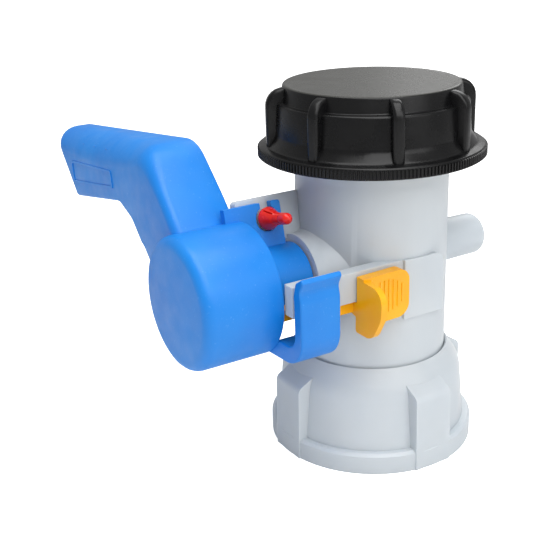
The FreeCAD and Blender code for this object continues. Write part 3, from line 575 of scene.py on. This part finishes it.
def make_grip_panel():
    """The narrow raised border round the panel on the grip's front."""
    border = slab(rel([(-105.6, 29.4, 1), (-62.5, 33.8, 1), (-61.5, 26.8, 1), (-104.9, 20.2, 1)]),
                  "Y", LEVER_FRONT - 0.35, LEVER_FRONT + 1)
    middle = slab(rel([(-104.6, 28.6, 1), (-63.4, 32.8, 1), (-62.5, 27.6, 1), (-103.9, 21.3, 1)]),
                  "Y", LEVER_FRONT - 2, LEVER_FRONT + 0.4)
    return piece("grip_panel", combined(border, "DIFFERENCE", middle), BLUE, "handle", 35)


def make_hub():
    """The cup on its neck, with the square socket and the ribs inside."""
    cup = turned([(0, FACE - 0.0), (24.1, FACE + 0.35, 4.2), (24.1, RIM, 0.5), (21.5, RIM, 0.5),
                  (21.5, -81.2, 2.0), (13.1, -81.2, 1.0), (13.1, -34.6, 0.4), (9.6, -34.6, 0.4),
                  (9.6, -60), (0, -60)], "Y", STEM, 128)
    socket = slab(rel([(-4.55, -4.55, 0.6), (4.55, -4.55, 0.6), (4.55, 4.55, 0.6), (-4.55, 4.55, 0.6)]),
                  "Y", -78, -59)
    groove = turned([(9.0, -56.8), (10.05, -56.8), (10.05, -55.8), (9.0, -55.8)], "Y", STEM, 64)
    cup = combined(cup, "DIFFERENCE", socket, groove)
    rib = slab([(12.8, RISE - 0.8), (22.4, RISE - 0.8), (22.4, RISE + 0.8), (12.8, RISE + 0.8)],
                   "Y", -81.8, -55.0)
    ribs = round_the_axis(rib, 8, "Y", STEM, -7.3)
    made = piece("hub_cup", join(cup, ribs), BLUE, "handle", 32)
    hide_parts("lever_handle")
    return made


def make_lock_plate():
    plate = slab([(-60, RISE + 22.8), (-53.9, RISE + 22.8), (-53.9, RISE + 12.6), (-37, RISE + 12.6),
                  (-37, RISE + 29, 0.8), (-60, RISE + 29)], "X", -1.5, 1.5)
    window = turned([(0, -4), (4.6, -4), (4.6, 4), (0, 4)], "X", Vector((0, -43 * MM, (RISE + 23) * MM)), 40)
    slot = slab([(-45.3, RISE + 23), (-40.7, RISE + 23), (-40.7, RISE + 32), (-45.3, RISE + 32)], "X", -4, 4)
    plate = combined(plate, "DIFFERENCE", window, slot)
    bmesh.ops.rotate(plate, verts=plate.verts, cent=STEM, matrix=Matrix.Rotation(-LEAN, 3, "Y"))
    return piece("lock_plate", plate, BLUE, "handle", 35, 0.4)


def make_guide_hook():
    hook = slab(rel([(11.3, -21.0), (34.2, -19.7, 11), (34.2, 4.5, 6), (33.3, 8, 3), (35.3, 12.0, 0.8),
                     (34.2, 13.4, 0.7), (30.6, 11.0, 1), (29.3, 6.2, 0.8), (29.6, 2.5, 3), (29.6, -13.6, 5),
                     (18.9, -13.6), (8.4, -19.3)]), "Y", RIM, -38)
    bridge = slab(rel([(11.3, -21.0), (19.3, -13.6), (17.8, -12.0), (9.6, -19.2)]), "Y", -59.5, -53.5)
    return piece("guide_hook", join(hook, bridge), BLUE, "handle", 35, 0.7)


# ---------------------------------------------------------------- the black cap

CAP_FOOT, CAP_TOP = cap_low[2] / MM, cap_high[2] / MM
THREAD_PITCH = 6.0


def make_cap():
    """The cap's shell with its ribs; the flange's knurl is a piece of its own."""
    ceiling = tube_high[2] / MM + 2.0
    shell = turned([(0, ceiling), (30.2, ceiling, 0.4), (30.2, CAP_FOOT, 0.3), (41.4, CAP_FOOT, 0.5),
                    (41.4, CAP_FOOT + 4.1, 0.8), (38.4, CAP_FOOT + 4.7, 2.0), (36.0, CAP_FOOT + 8.2, 4.0),
                    (35.2, CAP_TOP - 6.3, 0.9), (33.1, CAP_TOP - 5.9, 0.5), (32.3, CAP_TOP - 0.1, 1.0),
                    (30.0, CAP_TOP - 0.35, 3.0), (0, CAP_TOP - 0.35)], "Z", (0, 0, 0), 128)
    rib = slab([(31.2, CAP_FOOT + 1), (39.0, CAP_FOOT + 1), (39.0, CAP_TOP - 0.9, 6.5),
                (31.2, CAP_TOP - 0.9)], "Y", -2.1, 2.1)
    outer = [edge for edge in rib.edges if len(edge.link_faces) == 2 and edge.calc_face_angle(0) > 1.2
             and min(vert.co.x for vert in edge.verts) > 0.0313]
    bmesh.ops.bevel(rib, geom=outer, offset=1.3 * MM, segments=4, profile=0.5, affect="EDGES", material=-1)
    ribs = round_the_axis(rib, 8, "Z", (0, 0, 0), CAP_RIB_ANGLE)
    made = piece("cap_shell", join(shell, ribs), BLACK, "cap", 35)
    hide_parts("outlet_cap")
    return made


CAP_RIB_ANGLE = -23.0
KNURL_COUNT = 190


def make_knurl():
    """Fine upright ridges round the edge of the cap's flange."""
    half = 0.42
    ridge = slab([(41.2, -half), (41.75, -half * 0.75), (41.98, -half * 0.2), (41.98, half * 0.2),
                  (41.75, half * 0.75), (41.2, half)], "Z", CAP_FOOT + 0.35, CAP_FOOT + 3.7)
    for vert in ridge.verts:
        if vert.co.x > 0.0415:
            middle = (CAP_FOOT + 2.0) * MM
            vert.co.z += (middle - vert.co.z) * 0.12
    ridges = round_the_axis(ridge, KNURL_COUNT, "Z", (0, 0, 0))
    return piece("cap_knurl", ridges, BLACK, "cap", 50)


def make_cap_thread():
    thread = helix([(30.4, CAP_FOOT + 4.0), (28.9, CAP_FOOT + 5.2), (28.9, CAP_FOOT + 6.0),
                    (30.4, CAP_FOOT + 7.2)], 2.2, THREAD_PITCH)
    return piece("cap_thread", thread, BLACK, "cap", 35)


# ---------------------------------------------------------------- the pale body and nut

def make_neck_thread():
    """The outlet's coarse male thread, one pitch ahead of the cap's."""
    foot = CAP_FOOT + 4.0 + THREAD_PITCH / 2
    thread = helix([(27.2, foot - 0.1), (29.6, foot + 1.2), (29.6, foot + 2.0), (27.2, foot + 3.3)],
                   2.3, THREAD_PITCH)
    return piece("neck_thread", thread, MILKY, "body", 35)


def make_nut_thread():
    thread = helix([(31.2, 2.0), (29.6, 3.2), (29.6, 4.0), (31.2, 5.2)], 2.9, THREAD_PITCH)
    return piece("nut_thread", thread, MILKY, "nut", 35)


# ---------------------------------------------------------------- the yellow slide and the red screw

def make_slide_ribs():
    """Upright grip ribs on the slide's outer plate."""
    ribs = []
    for number in range(7):
        y = -22.2 + number * 1.9
        reach = 6.2 - 0.22 * abs(number - 2.5) ** 2
        ribs.append(slab([(y - 0.33, RISE - 1.2 - reach), (y + 0.33, RISE - 1.2 - reach),
                          (y + 0.33, RISE - 1.2 + reach), (y - 0.33, RISE - 1.2 + reach)], "X", 32.4, 33.15))
    return piece("slide_ribs", join(*ribs), YELLOW, "slide", 35, 0.22)


def make_lock_screw():
    """The screw: a plain shank, a winged skirt and a ringed grip."""
    screw = turned([(0, -6.0), (1.7, -6.0), (1.7, 1.8), (4.2, 1.8, 0.2), (4.2, 2.7, 0.4), (2.5, 7.2, 2.0),
                    (1.75, 8.2, 0.3), (2.2, 8.9, 0.3), (1.75, 9.6, 0.3), (2.2, 10.3, 0.3), (1.75, 11.0, 0.3),
                    (2.2, 12.5, 1.2), (2.0, 15.6, 1.2), (0.6, 17.2, 0.4), (0, 17.2)], "Z", (0, 0, 0), 40)
    slit = slab([(-5, -0.3), (5, -0.3), (5, 0.3), (-5, 0.3)], "Z", 3.2, 7.6)
    core = turned([(0, 1.0), (2.1, 1.0), (2.1, 8.4), (0, 8.4)], "Z", (0, 0, 0), 32)
    cutter = combined(slit, "DIFFERENCE", core)
    bmesh.ops.rotate(cutter, verts=cutter.verts, cent=(0, 0, 0), matrix=Matrix.Rotation(radians(35), 3, "Z"))
    screw = combined(screw, "DIFFERENCE", cutter)
    bmesh.ops.rotate(screw, verts=screw.verts, cent=(0, 0, 0), matrix=Matrix.Rotation(pi / 2 - LEAN, 3, "Y"))
    place = Vector((-23 * sin(LEAN), -43, RISE + 23 * cos(LEAN))) * MM
    bmesh.ops.translate(screw, verts=screw.verts, vec=place)
    made = piece("screw_shape", screw, RED, "screw", 35)
    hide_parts("lock_screw")
    return made


# ---------------------------------------------------------------- assembly of the look

make_hub()
make_lever()
make_grip_panel()
make_lock_plate()
make_guide_hook()
make_cap()
make_knurl()
make_cap_thread()
make_neck_thread()
make_nut_thread()
make_slide_ribs()
make_lock_screw()
smooth_copy("valve_body", MILKY, "body", 32, 0.5)
smooth_copy("union_nut", MILKY, "nut", 32, 0.9)
smooth_copy("locking_slide", YELLOW, "slide", 32, 0.5)
for node, finish in (("nut_snap_ring", NYLON), ("inlet_gasket", RUBBER), ("cap_gasket", FOAM),
                     ("stem", NYLON), ("inner_o_ring", RUBBER), ("outer_o_ring", RUBBER),
                     ("gland_bush", NYLON), ("gland_clip", STEEL), ("pivot_bush", NYLON),
                     ("butterfly_disc", NYLON), ("disc_seal_ring", RUBBER), ("disc_pin", STEEL),
                     ("handle_clip", STEEL)):
    finish_node(node, finish)


# ---------------------------------------------------------------- floor, light and camera

FLOOR_LIFT = 0.85
FLOOR_HALF_WIDTH = 2.5
FLOOR_GREY = 0.86


def backdrop_finish(shown):
    """A pale surface that the camera sees as an even white; its lift hides the soft shadow."""
    finish = Finish("pale_floor")
    finish.set(Roughness=0.9)
    finish.shader.inputs["Base Color"].default_value = shown
    grain = finish.spread(finish.noise(3, 2), 0.86, 0.94)
    finish.link(grain, finish.shader.inputs["Roughness"])
    lift = finish.add("ShaderNodeMath")
    lift.operation = "MULTIPLY"
    lift.inputs[1].default_value = FLOOR_LIFT
    finish.link(finish.add("ShaderNodeLightPath").outputs["Is Camera Ray"], lift.inputs[0])
    finish.link(lift.outputs["Value"], finish.shader.inputs["Emission Strength"])
    finish.set(Emission_Color=(1, 1, 1, 1))
    return finish.material


def make_floor():
    bm = bmesh.new()
    bmesh.ops.create_grid(bm, x_segments=1, y_segments=1, size=FLOOR_HALF_WIDTH)
    mesh = bpy.data.meshes.new("floor")
    bm.to_mesh(mesh)
    bm.free()
    mesh.materials.append(backdrop_finish((FLOOR_GREY, FLOOR_GREY, FLOOR_GREY, 1)))
    floor = bpy.data.objects.new("floor", mesh)
    scene.collection.objects.link(floor)
    return floor


def make_world(strength):
    world = bpy.data.worlds.new("studio")
    world.use_nodes = True
    tree = world.node_tree
    lit = tree.nodes["Background"]
    lit.inputs["Color"].default_value = (1, 1, 1, 1)
    lit.inputs["Strength"].default_value = strength
    seen = tree.nodes.new("ShaderNodeBackground")
    seen.inputs["Color"].default_value = (1, 1, 1, 1)
    seen.inputs["Strength"].default_value = 1.0
    ray = tree.nodes.new("ShaderNodeLightPath")
    mix = tree.nodes.new("ShaderNodeMixShader")
    tree.links.new(ray.outputs["Is Camera Ray"], mix.inputs["Fac"])
    tree.links.new(lit.outputs["Background"], mix.inputs[1])
    tree.links.new(seen.outputs["Background"], mix.inputs[2])
    tree.links.new(mix.outputs["Shader"], tree.nodes["World Output"].inputs["Surface"])
    scene.world = world


def make_lamp(name, place, aim, width, height, power):
    lamp = bpy.data.lights.new(name, "AREA")
    lamp.shape = "RECTANGLE"
    lamp.size, lamp.size_y = width, height
    lamp.energy = power
    made = bpy.data.objects.new(name, lamp)
    scene.collection.objects.link(made)
    towards = (Vector(aim) - Vector(place)).normalized()
    made.matrix_world = Matrix.Translation(place) @ towards.to_track_quat("-Z", "Y").to_matrix().to_4x4()
    return made


def make_camera():
    """The camera stands on the slide's side of the handle and looks a little down."""
    towards = Vector((-0.80621, 0.47746, -0.34937)).normalized()
    level = towards.cross(Vector((0, 0, 1))).normalized()
    upright = level.cross(towards)
    tilt = radians(-1.865)
    across = level * cos(tilt) + upright * sin(tilt)
    up = upright * cos(tilt) - level * sin(tilt)
    lens = bpy.data.cameras.new("camera")
    lens.lens, lens.sensor_width = 66.163, 36.0
    lens.clip_start = 0.01
    camera = bpy.data.objects.new("camera", lens)
    scene.collection.objects.link(camera)
    turn = Matrix((across, up, -towards)).transposed().to_4x4()
    camera.matrix_world = Matrix.Translation((0.28851, -0.21599, 0.20119)) @ turn
    scene.camera = camera


make_floor()
make_world(0.40)
make_lamp("top", (0.1, -0.05, 1.1), (0, 0, 0.08), 0.9, 0.9, 8.5)
make_lamp("key", (0.75, -0.25, 0.85), (0, 0, 0.08), 0.7, 0.7, 4.5)
make_lamp("side", (0.95, 0.25, 0.55), (0, 0, 0.08), 0.6, 0.6, 2)
make_lamp("back", (-0.6, 0.8, 0.7), (0, 0, 0.08), 0.6, 0.6, 2)
make_camera()
scene.view_settings.view_transform = "Standard"
